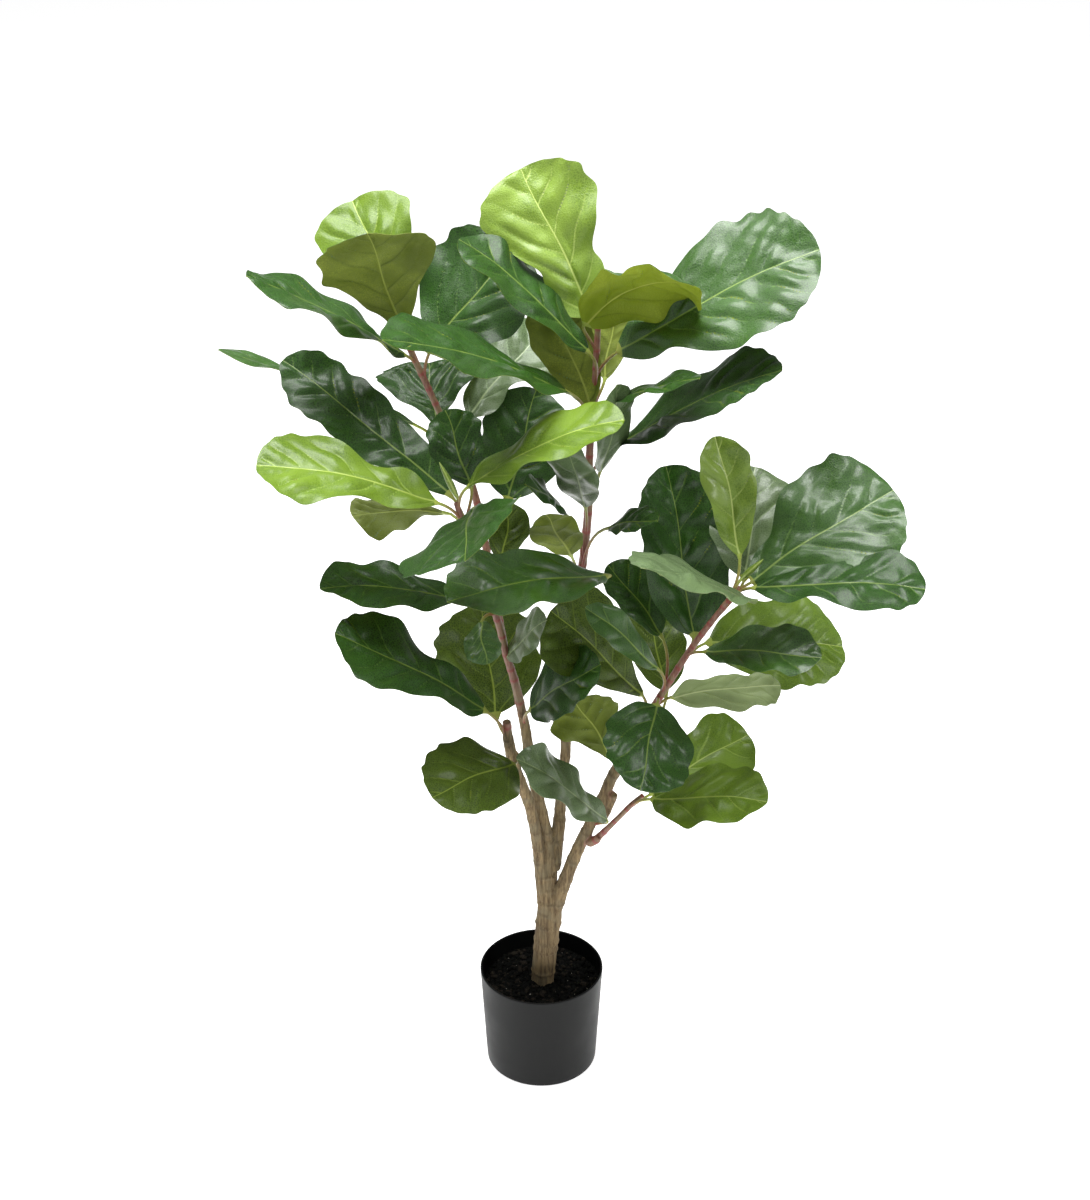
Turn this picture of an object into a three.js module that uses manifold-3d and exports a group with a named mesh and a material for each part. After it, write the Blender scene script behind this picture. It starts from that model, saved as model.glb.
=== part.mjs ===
import * as THREE from "three";
import { mergeVertices } from "three/addons/utils/BufferGeometryUtils.js";
import Module from "manifold-3d";

// A potted fiddle leaf fig. Millimetres, +Z up, origin on the floor at the middle of the pot's foot.
// +X is to the right of the plant's front and +Y is away from the front.

const wasm = await Module();
wasm.setup();

// Driving dimensions.
const potFootRadius = 63;
const potRimRadius = 70;
const potHeight = 124;
const potWall = 2.4;
const potFloor = 3;
const potSegments = 48;
const soilTop = 103;
const soilMound = 2;
const soilGap = 0.5;
const moundShare = 0.6;
const clearance = 0.3;
const smallestEdge = 0.12;
const bladeThickness = 1.2;
const petioleRadius = 1.8;
const petioleBlend = 0.125;
const budTaper = 0.7;
const stalkTurn = 0.3;
const stemSides = 8;
const stemStepsPerPoint = 2;
const stemSamples = 200;
const petioleSteps = [0, 0.35, 0.7];
const bladeSteps = [0, 0.15, 0.42, 0.7, 0.89, 1];
const bladeAcross = [-1, -0.5, 0, 0.5, 1];
const bladeEdgeShare = 0.6;
const petioleEdgeShare = 0.4;

const finishes = {
  pot: { color: 0x2c2e2e, roughness: 0.5 },
  soil: { color: 0x1d1813, roughness: 0.95 },
  stems: { color: 0x8d7b62, roughness: 0.85 },
  bright: { color: 0x86a836, roughness: 0.4 },
  fresh: { color: 0x5f8434, roughness: 0.42 },
  moss: { color: 0x4c6318, roughness: 0.48 },
  lime: { color: 0xa0ac3c, roughness: 0.6 },
  mid: { color: 0x4f7a3a, roughness: 0.45 },
  dark: { color: 0x274a20, roughness: 0.4 },
  olive: { color: 0x737b3c, roughness: 0.65 },
  pale: { color: 0x7f9a7c, roughness: 0.5 },
};

// The line of each stem from its foot to its tip: x, y, z and diameter at each bend.
const stemLines = {
  trunk: [
    [0, 0, 23, 20], [1, 0, 96, 25], [5, 0, 153, 27], [9, 0, 203, 28], [7, 0, 243, 22],
    [7, 0, 273, 19], [6, 0, 300, 14],
  ],
  low_left: [
    [6, 0, 195, 16], [2, -4, 232, 15], [-4, -11, 298, 13], [-12, -22, 354, 12], [-23, -35, 398, 12],
    [-31, -47, 435, 12], [-35, -54, 463, 11], [-36, -59, 486, 9],
  ],
  left: [
    [12, 0, 259, 18], [6, 0, 300, 15], [-3, -4, 352, 13], [-11, -7, 400, 12], [-16, -9, 439, 11],
    [-22, -14, 478, 10], [-29, -18, 515, 9], [-37, -22, 547, 8], [-43, -27, 581, 8], [-54, -38, 627, 7],
    [-64, -45, 660, 7], [-78, -51, 711, 6], [-84, -54, 737, 6],
  ],
  upper_left: [
    [-39, -23, 556, 9], [-45, 14, 573, 8], [-56, 47, 621, 8], [-71, 68, 693, 8], [-95, 78, 751, 7],
    [-118, 81, 807, 7], [-132, 81, 841, 7], [-141, 81, 873, 6],
  ],
  centre: [
    [13, 0, 259, 17], [17, 5, 291, 15], [20, 8, 318, 14], [21, 11, 335, 12], [26, 16, 397, 11],
    [28, 20, 440, 12], [34, 27, 536, 10], [44, 30, 630, 9], [49, 34, 689, 9], [50, 38, 753, 8],
    [54, 40, 818, 8], [57, 40, 888, 6],
  ],
  right: [
    [10, 0, 181, 17], [17, -4, 213, 16], [26, -8, 246, 15], [39, -12, 289, 14], [53, -15, 326, 13],
    [67, -18, 363, 13], [77, -19, 393, 12], [101, -22, 447, 10], [122, -24, 489, 8], [155, -34, 558, 7],
    [185, -47, 614, 6], [200, -54, 643, 5],
  ],
  low_right: [
    [51, -16, 305, 10], [61, -24, 316, 8], [81, -31, 344, 6], [97, -36, 367, 6], [109, -40, 382, 5],
  ],
};

// Half-width of a blade, as a share of the widest, at each share of its length from base to tip.
const outlines = {
  fiddle: [[0, 0.1], [0.1, 0.46], [0.22, 0.54], [0.36, 0.5], [0.54, 0.8], [0.7, 1], [0.85, 0.95], [1, 0.15]],
  paddle: [[0, 0.12], [0.16, 0.4], [0.38, 0.74], [0.54, 0.97], [0.7, 1], [0.86, 0.88], [1, 0.15]],
  wedge: [[0, 0.08], [0.18, 0.3], [0.38, 0.56], [0.58, 0.86], [0.74, 1], [0.87, 0.94], [1, 0.15]],
  round: [[0, 0.12], [0.09, 0.5], [0.24, 0.82], [0.44, 1], [0.64, 0.98], [0.84, 0.8], [1, 0.12]],
  strap: [[0, 0.1], [0.1, 0.42], [0.26, 0.72], [0.48, 0.93], [0.68, 1], [0.86, 0.82], [1, 0.15]],
  bud: [[0, 0.5], [0.2, 0.85], [0.4, 1], [0.7, 0.7], [1, 0.15]],
};

// The leaves that each stem carries. For each: its name, where the blade's midrib starts and ends,
// the blade's width, the way its upper side faces, how far the midrib arches, how many degrees
// each half folds up (less than none for down), its outline and its tone.
const leafPlan = {
  upper_left: [
    ["upper_left_1", [-140, 90, 880], [-195, 170, 975], 105, [-0.1, -0.85, 0.5], 10, 8, "wedge", "fresh"],
    ["upper_left_2", [-140, 70, 870], [-165, -20, 1005], 115, [-0.15, 0.75, 0.6], 8, -8, "wedge", "olive"],
    ["upper_left_3", [-140, 70, 845], [-285, 0, 955], 88, [0.28, -0.05, 0.95], 6, 5, "strap", "dark"],
    ["upper_left_5", [-110, 95, 760], [-120, 160, 800], 116, [0, -0.85, 0.5], 5, 10, "wedge", "dark"],
    ["upper_left_6", [-105, 75, 860], [-25, 115, 945], 128, [-0.3, -0.8, 0.5], 6, 12, "round", "dark"],
    ["upper_left_8", [-75, 110, 760], [5, 190, 830], 80, [-0.3, -0.75, 0.55], 6, 8, "fiddle", "pale"],
    ["middle_1", [-35, 80, 680], [-5, 135, 780], 92, [0, -0.85, 0.5], 5, 8, "round", "dark"],
    ["left_6", [-135, 110, 750], [-335, 110, 835], 66, [0.3, 0.2, 0.93], 4, 5, "strap", "olive"],
  ],
  centre: [
    ["upper_left_4", [25, -5, 835], [-145, -130, 940], 98, [0.1, -0.2, 1], 10, 8, "strap", "dark"],
    ["upper_left_7", [45, 5, 875], [-80, 35, 980], 76, [0.2, -0.2, 0.9], 8, 6, "strap", "dark"],
    ["centre_1", [50, 40, 900], [-20, 85, 1035], 116, [-0.1, -0.85, 0.45], 12, 8, "fiddle", "bright"],
    ["centre_2", [45, 15, 900], [145, -55, 965], 98, [0.1, 0.75, 0.65], 22, -8, "round", "lime"],
    ["centre_3", [80, 20, 870], [265, -25, 990], 136, [-0.25, -0.6, 0.75], 10, 8, "paddle", "mid"],
    ["centre_4", [80, 15, 770], [230, -70, 885], 94, [-0.15, -0.25, 0.95], 8, 10, "strap", "dark"],
    ["centre_5", [65, -5, 820], [150, -90, 885], 45, [-0.1, -0.2, 1], 5, 5, "strap", "dark"],
    ["centre_6", [50, 30, 805], [5, 55, 920], 64, [-0.2, 0.8, 0.5], 5, -5, "strap", "olive"],
    ["centre_7", [65, 55, 825], [75, 100, 890], 46, [0.1, 0.8, 0.5], 5, -5, "strap", "olive"],
    ["centre_8", [60, 5, 745], [75, -35, 855], 50, [0.5, -0.6, 0.4], 5, 5, "strap", "pale"],
    ["centre_9", [45, 5, 705], [25, -60, 810], 54, [-0.2, -0.6, 0.75], 4, 8, "strap", "pale"],
    ["middle_2", [25, -15, 705], [-15, -80, 770], 40, [0.1, -0.5, 0.85], 4, 8, "round", "dark"],
    ["middle_3", [30, -5, 655], [5, -75, 735], 50, [-0.2, 0.6, 0.75], 4, -5, "round", "olive"],
    ["middle_5", [70, -25, 695], [115, -70, 725], 40, [0, -0.4, 0.9], 4, 8, "round", "dark"],
    ["lower_left_2", [65, -35, 645], [-90, -155, 680], 94, [0, -0.3, 0.95], 8, 12, "strap", "mid"],
  ],
  left: [
    ["left_bud", [-83, -51, 741], [-100, -54, 781], 7, [0, -0.8, 0.6], 1, 0, "bud", "bright"],
    ["middle_4", [-40, -20, 655], [-35, 15, 705], 48, [0.3, -0.8, 0.5], 4, 8, "strap", "moss"],
    ["left_1", [-105, -70, 745], [-275, -90, 795], 92, [0, -0.35, 0.94], 10, 8, "fiddle", "fresh"],
    ["left_2", [-70, -65, 760], [80, -85, 840], 84, [-0.3, -0.12, 0.95], 12, 8, "strap", "fresh"],
    ["left_3", [-65, -85, 745], [-70, -225, 760], 138, [-0.5, -0.45, 0.8], 6, 12, "wedge", "dark"],
    ["left_4", [-100, 0, 700], [-195, 15, 690], 80, [0, 0.8, 0.6], 5, -8, "wedge", "olive"],
    ["left_5", [-95, -5, 725], [-265, 80, 835], 76, [-0.1, -0.4, 0.92], 8, 8, "strap", "dark"],
    ["left_7", [-70, -40, 750], [-95, -15, 820], 58, [0.1, -0.75, 0.65], 4, 8, "strap", "dark"],
    ["lower_left_1", [-80, -40, 620], [-220, -90, 660], 78, [0.1, -0.15, 0.97], 8, 8, "strap", "dark"],
    ["lower_left_4", [-50, 20, 450], [-65, 80, 550], 112, [0, -0.7, 0.7], 5, 8, "round", "moss"],
    ["lower_left_5", [-60, -50, 600], [-55, -85, 570], 42, [-0.3, -0.8, 0.4], 4, 8, "strap", "mid"],
    ["lower_left_6", [-35, -25, 545], [5, -65, 610], 48, [-0.3, -0.5, 0.8], 4, 5, "strap", "pale"],
    ["lower_left_7", [-10, -40, 490], [60, -85, 570], 76, [-0.1, -0.55, 0.83], 5, 8, "round", "dark"],
  ],
  low_left: [
    ["lower_left_3", [-60, -75, 510], [-205, -110, 620], 88, [0.1, -0.4, 0.9], 8, 8, "fiddle", "dark"],
    ["lower_left_8", [-30, -70, 440], [-110, -155, 455], 96, [0, -0.5, 0.87], 5, 8, "round", "moss"],
  ],
  right: [
    ["right_bud", [202, -61, 655], [222, -68, 681], 7, [0, -0.8, 0.6], 1, 0, "bud", "bright"],
    ["middle_6", [75, -25, 420], [35, -30, 495], 76, [-0.4, 0.75, 0.5], 5, -8, "wedge", "olive"],
    ["middle_7", [105, -25, 500], [10, -45, 610], 98, [0.1, -0.75, 0.65], 5, 8, "wedge", "moss"],
    ["middle_8", [120, -50, 545], [45, -75, 630], 38, [0.3, -0.6, 0.7], 4, 5, "strap", "mid"],
    ["middle_9", [125, -5, 560], [70, 20, 630], 62, [0.4, -0.6, 0.7], 4, 20, "strap", "dark"],
    ["middle_10", [135, 35, 470], [115, 95, 550], 66, [0.3, -0.8, 0.5], 4, 8, "round", "moss"],
    ["right_1", [200, -45, 675], [175, 0, 785], 58, [0.2, -0.85, 0.5], 5, 18, "strap", "bright"],
    ["right_2", [160, 0, 560], [130, 60, 725], 118, [0.15, -0.8, 0.6], 6, 36, "round", "dark"],
    ["right_3", [210, -80, 640], [95, -180, 730], 96, [0, -0.08, 1], 5, 5, "strap", "pale"],
    ["right_4", [210, -15, 635], [225, 80, 715], 92, [0, -0.85, 0.5], 5, 8, "round", "pale"],
    ["right_5", [215, -55, 650], [355, -20, 735], 138, [-0.2, -0.6, 0.77], 10, 8, "paddle", "mid"],
    ["right_6", [215, -80, 655], [375, -130, 680], 82, [0, -0.3, 0.95], 8, 8, "fiddle", "dark"],
    ["lower_right_1", [180, 5, 545], [325, 40, 520], 106, [-0.1, -0.6, 0.8], 6, 8, "round", "fresh"],
    ["lower_right_2", [170, -60, 570], [280, -115, 595], 62, [0, -0.5, 0.87], 5, 18, "strap", "mid"],
    ["lower_right_3", [140, -15, 490], [250, -40, 520], 80, [-0.1, 0.9, 0.4], 5, -8, "strap", "pale"],
    ["lower_right_4", [120, -60, 505], [100, -150, 460], 95, [0.1, -0.9, 0.4], 6, 8, "round", "dark"],
    ["lower_right_7", [70, -40, 350], [-25, -90, 460], 60, [0.3, -0.4, 0.87], 6, 8, "strap", "pale"],
  ],
  low_right: [
    ["lower_right_5", [120, -25, 375], [225, 15, 425], 80, [-0.3, -0.7, 0.65], 5, 8, "wedge", "fresh"],
    ["lower_right_6", [120, -60, 390], [235, -110, 420], 82, [-0.1, -0.3, 0.95], 6, 8, "round", "fresh"],
  ],
};

// The value at t of a list of [t, value] pairs, with a straight run from each pair to the next.
function valueAt(pairs, t) {
  let i = 1;
  while (i < pairs.length - 1 && pairs[i][0] < t) i += 1;
  const [t0, v0] = pairs[i - 1];
  const [t1, v1] = pairs[i];
  const share = THREE.MathUtils.clamp((t - t0) / (t1 - t0), 0, 1);
  return v0 + (v1 - v0) * share;
}

// A closed geometry through rings of points, each with the same count, capped at both ends.
function loft(rings) {
  const count = rings[0].length;
  const positions = rings.flat().flatMap((p) => [p.x, p.y, p.z]);
  const index = [];
  for (let i = 0; i < rings.length - 1; i += 1) {
    for (let j = 0; j < count; j += 1) {
      const a = i * count + j;
      const b = i * count + ((j + 1) % count);
      index.push(a, b, b + count, a, b + count, a + count);
    }
  }
  const last = (rings.length - 1) * count;
  for (let j = 1; j < count - 1; j += 1) {
    index.push(0, j + 1, j);
    index.push(last, last + j, last + j + 1);
  }
  const geometry = new THREE.BufferGeometry();
  geometry.setAttribute("position", new THREE.Float32BufferAttribute(positions, 3));
  geometry.setIndex(index);
  return geometry;
}

// A three.js geometry as a solid that can be joined and cut.
function toSolid(geometry) {
  geometry.deleteAttribute("normal");
  geometry.deleteAttribute("uv");
  const merged = mergeVertices(geometry, 1e-4);
  const vertProperties = new Float32Array(merged.attributes.position.array);
  const triVerts = new Uint32Array(merged.index.array);
  const solid = new wasm.Manifold(new wasm.Mesh({ numProp: 3, vertProperties, triVerts }));
  if (solid.volume() >= 0) return solid;
  for (let i = 0; i < triVerts.length; i += 3) {
    [triVerts[i], triVerts[i + 1]] = [triVerts[i + 1], triVerts[i]];
  }
  return new wasm.Manifold(new wasm.Mesh({ numProp: 3, vertProperties, triVerts }));
}

// A solid as a named three.js mesh.
function toMesh(name, solid, finish) {
  const { vertProperties, triVerts } = solid.getMesh();
  const geometry = new THREE.BufferGeometry();
  geometry.setAttribute("position", new THREE.Float32BufferAttribute(vertProperties, 3));
  geometry.setIndex(new THREE.Uint32BufferAttribute(triVerts, 1));
  geometry.computeVertexNormals();
  const mesh = new THREE.Mesh(geometry, new THREE.MeshStandardMaterial({ metalness: 0, ...finish }));
  mesh.name = name;
  return mesh;
}

// The smooth centre line of a stem, with its radius at each share of its points.
function stemCurve(line) {
  const bends = line.map(([x, y, z]) => new THREE.Vector3(x, y, z));
  const curve = new THREE.CatmullRomCurve3(bends, false, "catmullrom", 0.5);
  const radii = line.map(([, , , diameter], i) => [i / (line.length - 1), diameter / 2]);
  return { curve, radii, steps: (line.length - 1) * stemStepsPerPoint };
}

function stemSolid(line, grow) {
  const { curve, radii, steps } = stemCurve(line);
  const rings = [];
  let side = new THREE.Vector3(1, 0, 0);
  for (let i = 0; i <= steps; i += 1) {
    const share = i / steps;
    const along = curve.getTangent(share);
    side = side.clone().addScaledVector(along, -side.dot(along)).normalize();
    const across = along.clone().cross(side);
    const radius = valueAt(radii, share) + grow;
    const centre = curve.getPoint(share);
    if (i === 0) centre.addScaledVector(along, -grow);
    if (i === steps) centre.addScaledVector(along, grow);
    rings.push(Array.from({ length: stemSides }, (_, j) => {
      const turn = (2 * Math.PI * j) / stemSides;
      return centre.clone()
        .addScaledVector(side, radius * Math.cos(turn))
        .addScaledVector(across, radius * Math.sin(turn));
    }));
  }
  return toSolid(loft(rings));
}

// All stems as one solid, each branch starting inside the one that it grows from.
function stemsSolid(grow) {
  return Object.values(stemLines)
    .map((line) => stemSolid(line, grow))
    .reduce((whole, branch) => whole.add(branch));
}

// The centre line of a leaf's stalk. It leaves the stem below the leaf, at a slant, and turns from
// the stem's way to the leaf's.
function stalkCurve(stem, base, axis) {
  const { curve } = stemCurve(stemLines[stem]);
  const shares = Array.from({ length: stemSamples + 1 }, (_, i) => i / stemSamples);
  const gap = (share, place) => curve.getPoint(share).distanceTo(place);
  const nearest = (place) => shares
    .reduce((best, next) => (gap(next, place) < gap(best, place) ? next : best));
  const beside = nearest(base);
  const reach = gap(beside, base);
  const below = axis.clone().add(curve.getTangent(beside)).multiplyScalar(-reach).add(base);
  const share = nearest(below);
  const seat = curve.getPoint(share);
  const length = seat.distanceTo(base);
  return new THREE.CubicBezierCurve3(
    seat,
    seat.clone().addScaledVector(curve.getTangent(share), stalkTurn * length),
    base.clone().addScaledVector(axis, -stalkTurn * length),
    base,
  );
}

// One leaf as a single loft: a round leaf stalk from the middle of its stem, widening into a thin
// blade. The blade's halves fold up about the midrib, and the midrib arches, as a parabola, towards
// the upper side.
function leafSolid(stem, [, from, to, width, facing, arch, fold, outline], grow) {
  const base = new THREE.Vector3(...from);
  const tip = new THREE.Vector3(...to);
  const axis = tip.clone().sub(base).normalize();
  const side = axis.clone().cross(new THREE.Vector3(...facing)).normalize();
  const up = side.clone().cross(axis);
  const foldAngle = THREE.MathUtils.degToRad(fold);
  const stalk = stalkCurve(stem, base, axis);
  const ring = (centre, sideways, upward, halfWidth, thickness, edge, bend) => {
    const upper = bladeAcross.map((v) => [v, 1]);
    const lower = bladeAcross.map((v) => [v, -1]).reverse();
    return [...upper, ...lower].map(([v, face]) => {
      const half = thickness * (1 - (1 - edge) * Math.abs(v)) * face;
      return centre.clone()
        .addScaledVector(sideways, halfWidth * v * Math.cos(bend))
        .addScaledVector(upward, halfWidth * Math.abs(v) * Math.sin(bend) + half);
    });
  };
  const rings = petioleSteps.map((t) => {
    const along = stalk.getTangent(t);
    const sideways = side.clone().addScaledVector(along, -side.dot(along)).normalize();
    const upward = sideways.clone().cross(along);
    const radius = petioleRadius + grow;
    const centre = stalk.getPoint(t);
    if (t === 0) centre.addScaledVector(along, -grow);
    return ring(centre, sideways, upward, radius, radius, petioleEdgeShare, 0);
  });
  const halfThickness = bladeThickness / 2 + grow;
  for (const t of bladeSteps) {
    const centre = base.clone().lerp(tip, t).addScaledVector(up, 4 * arch * t * (1 - t));
    const slope = tip.clone().sub(base).addScaledVector(up, 4 * arch * (1 - 2 * t)).normalize();
    const upward = side.clone().cross(slope);
    const halfWidth = Math.max((width / 2) * valueAt(outlines[outline], t), petioleRadius) + grow;
    const stalkShare = outline === "bud" ? 1 - budTaper * t : Math.max(0, 1 - t / petioleBlend);
    const thickness = THREE.MathUtils.lerp(halfThickness, petioleRadius + grow, stalkShare);
    if (t === 1) centre.addScaledVector(slope, grow);
    rings.push(ring(centre, side, upward, halfWidth, thickness, bladeEdgeShare, foldAngle));
  }
  return toSolid(loft(rings));
}

// A profile of [radius, height] points turned round the pot's axis.
function latheSolid(profile) {
  const points = profile.map(([radius, height]) => new THREE.Vector2(radius, height));
  return toSolid(new THREE.LatheGeometry(points, potSegments).rotateX(Math.PI / 2));
}

function potSolid() {
  const innerFoot = potFootRadius - potWall;
  const innerRim = potRimRadius - potWall;
  const profile = [
    [0, 0],
    [potFootRadius, 0],
    [potRimRadius, potHeight],
    [innerRim, potHeight],
    [innerFoot, potFloor],
    [0, potFloor],
  ];
  return latheSolid(profile);
}

// The soil fills the pot up to a little below its rim, and is cut clear of the buried trunk.
function soilSolid(stemsGrown) {
  const floor = potFloor + clearance;
  const flare = (potRimRadius - potFootRadius) / potHeight;
  const radiusAt = (z) => potFootRadius + flare * z - potWall - soilGap;
  const profile = [
    [0, floor],
    [radiusAt(floor), floor],
    [radiusAt(soilTop), soilTop],
    [radiusAt(soilTop) * moundShare, soilTop + soilMound * moundShare],
    [0, soilTop + soilMound],
  ];
  return latheSolid(profile).subtract(stemsGrown);
}

function boxesMeet(a, b) {
  const first = a.boundingBox();
  const second = b.boundingBox();
  return [0, 1, 2].every((k) => first.min[k] < second.max[k] && second.min[k] < first.max[k]);
}

const stemsGrown = stemsSolid(clearance);
const group = new THREE.Group();
group.add(toMesh("pot", potSolid(), finishes.pot));
group.add(toMesh("soil", soilSolid(stemsGrown), finishes.soil));
group.add(toMesh("stems", stemsSolid(0), finishes.stems));

// Each leaf is cut clear of the stems, and of the leaves before it where their stalks crowd.
const placed = [];
for (const [stem, leaves] of Object.entries(leafPlan)) {
  for (const leaf of leaves) {
    const whole = leafSolid(stem, leaf, 0);
    const free = placed.filter((other) => boxesMeet(whole, other))
      .reduce((rest, other) => rest.subtract(other), whole.subtract(stemsGrown));
    const body = free.decompose().reduce((a, b) => (a.volume() > b.volume() ? a : b));
    placed.push(leafSolid(stem, leaf, clearance));
    const tidied = body.asOriginal().simplify(smallestEdge);
    group.add(toMesh(`leaf_${leaf[0]}`, tidied, finishes[leaf[leaf.length - 1]]));
  }
}

export default group;
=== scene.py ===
# A potted fiddle leaf fig: pot, soil, stems and leaves, each with its own surface.
# Lengths in the dictionaries are in millimetres; Blender's are in metres.
import math
import bmesh
import bpy
import numpy as np
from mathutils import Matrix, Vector


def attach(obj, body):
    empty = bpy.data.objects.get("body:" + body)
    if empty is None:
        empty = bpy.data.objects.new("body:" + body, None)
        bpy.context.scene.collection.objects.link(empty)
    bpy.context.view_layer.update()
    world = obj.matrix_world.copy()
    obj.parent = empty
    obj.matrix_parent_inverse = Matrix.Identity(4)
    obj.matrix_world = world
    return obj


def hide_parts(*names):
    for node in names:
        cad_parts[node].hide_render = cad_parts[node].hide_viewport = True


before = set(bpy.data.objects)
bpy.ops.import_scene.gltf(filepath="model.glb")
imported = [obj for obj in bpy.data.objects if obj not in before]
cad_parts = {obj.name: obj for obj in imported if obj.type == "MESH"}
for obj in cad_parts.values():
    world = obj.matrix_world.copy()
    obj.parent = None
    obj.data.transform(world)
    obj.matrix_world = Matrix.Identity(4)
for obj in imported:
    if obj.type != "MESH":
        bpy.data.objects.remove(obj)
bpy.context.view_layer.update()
mm = 0.001
wholeTurn = 6.28  # near enough to 2 pi for waves and random turns

# the camera, a pale floor and three soft lights; the lights are in watts and metres
stage = {
    "cameraAt": (4, -2031, 1683), "tiltDown": 28.1, "lens": 66.15, "sensor": 36,
    "floorHalf": 20000, "floorDrop": 0.5, "floorColour": "#fafafa", "floorGlow": 0.78, "skyStrength": 0.2,
    "keyPower": 24, "keySize": 1.0, "keyAt": (2.0, -0.8, 2.2),
    "topPower": 100, "topSize": 1.8, "topAt": (-0.3, 0.0, 2.7),
    "fillPower": 3, "fillSize": 1.6, "fillAt": (-2.2, -1.0, 1.4), "lightsAimAt": (0, 0, 0.7),
}
# settings that many nodes share
softStep = {"interpolation_type": "SMOOTHSTEP"}
colourMix = {"data_type": "RGBA"}


def linear(hexColour):
    parts = [int(hexColour[i:i + 2], 16) / 255 for i in (1, 3, 5)]
    return [p / 12.92 if p <= 0.04045 else ((p + 0.055) / 1.055) ** 2.4 for p in parts] + [1.0]


# inputs may be sockets to link, hex colours or plain values. Map Range takes 0 the value, 1 and 2
# from, 3 and 4 to; Mix takes 0 the share, 4 and 5 vectors, 6 and 7 colours
def addNode(tree, kind, settings=None, inputs=None):
    node = tree.nodes.new(kind)
    for name, value in (settings or {}).items():
        setattr(node, name, value)
    for name, value in (inputs or {}).items():
        if isinstance(value, bpy.types.NodeSocket):
            tree.links.new(value, node.inputs[name])
        else:
            node.inputs[name].default_value = linear(value) if isinstance(value, str) else value
    return node


def newMaterial(name, roughness, ior=1.45, **more):
    material = bpy.data.materials.new(name)
    material.use_nodes = True
    tree = material.node_tree
    shader = tree.nodes["Principled BSDF"]
    shader.inputs["Roughness"].default_value = roughness
    shader.inputs["IOR"].default_value = ior
    for socket, value in more.items():
        shader.inputs[socket.replace("_", " ")].default_value = value
    return material, tree, shader


def makeObject(name, points, faces, materials, indices=None):
    mesh = bpy.data.meshes.new(name)
    mesh.from_pydata([tuple(p) for p in np.asarray(points) * mm], [], faces)
    for material in materials:
        mesh.materials.append(material)
    if indices is not None:
        mesh.polygons.foreach_set("material_index", np.array(indices, dtype=np.int32))
    mesh.update()
    made = bpy.data.objects.new(name, mesh)
    bpy.context.collection.objects.link(made)
    return made


def setAttribute(mesh, name, values):
    layer = mesh.attributes.new(name, "FLOAT", "POINT")
    layer.data.foreach_set("value", np.asarray(values, dtype=np.float32).ravel())


def standFor(piece, node):
    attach(piece, "root")
    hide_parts(node)


def addLight(name):
    light = bpy.data.lights.new(name, "AREA")
    light.shape = "DISK"
    light.energy = stage[name + "Power"]
    light.size = stage[name + "Size"]
    lamp = bpy.data.objects.new(name, light)
    lamp.location = stage[name + "At"]
    aim = Vector(stage["lightsAimAt"]) - Vector(stage[name + "At"])
    lamp.rotation_euler = aim.to_track_quat("-Z", "Y").to_euler()
    bpy.context.collection.objects.link(lamp)


def makeStage():
    view = bpy.data.cameras.new("camera")
    view.lens = stage["lens"]
    view.sensor_width = stage["sensor"]
    view.clip_end = 100
    camera = bpy.data.objects.new("camera", view)
    camera.location = Vector(stage["cameraAt"]) * mm
    camera.rotation_euler = (math.radians(90 - stage["tiltDown"]), 0, 0)
    bpy.context.collection.objects.link(camera)
    bpy.context.scene.camera = camera
    for name in ("key", "top", "fill"):
        addLight(name)
    world = bpy.data.worlds.new("studio")
    world.use_nodes = True
    world.node_tree.nodes["Background"].inputs["Color"].default_value = (1, 1, 1, 1)
    world.node_tree.nodes["Background"].inputs["Strength"].default_value = stage["skyStrength"]
    bpy.context.scene.world = world
    bpy.context.scene.view_settings.view_transform = "Standard"
    # studio paper: white, matt and evenly lit, with a faint glow of its own
    paper, tree, shader = newMaterial("paper", 0.9, Specular_IOR_Level=0.1)
    shader.inputs["Base Color"].default_value = linear(stage["floorColour"])
    shader.inputs["Emission Color"].default_value = linear(stage["floorColour"])
    shader.inputs["Emission Strength"].default_value = stage["floorGlow"]
    half, drop = stage["floorHalf"], stage["floorDrop"]
    corners = [(-half, -half, -drop), (half, -half, -drop), (half, half, -drop), (-half, half, -drop)]
    makeObject("floor", corners, [(0, 1, 2, 3)], [paper])


makeStage()
print("stage: camera, lights and floor")

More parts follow.
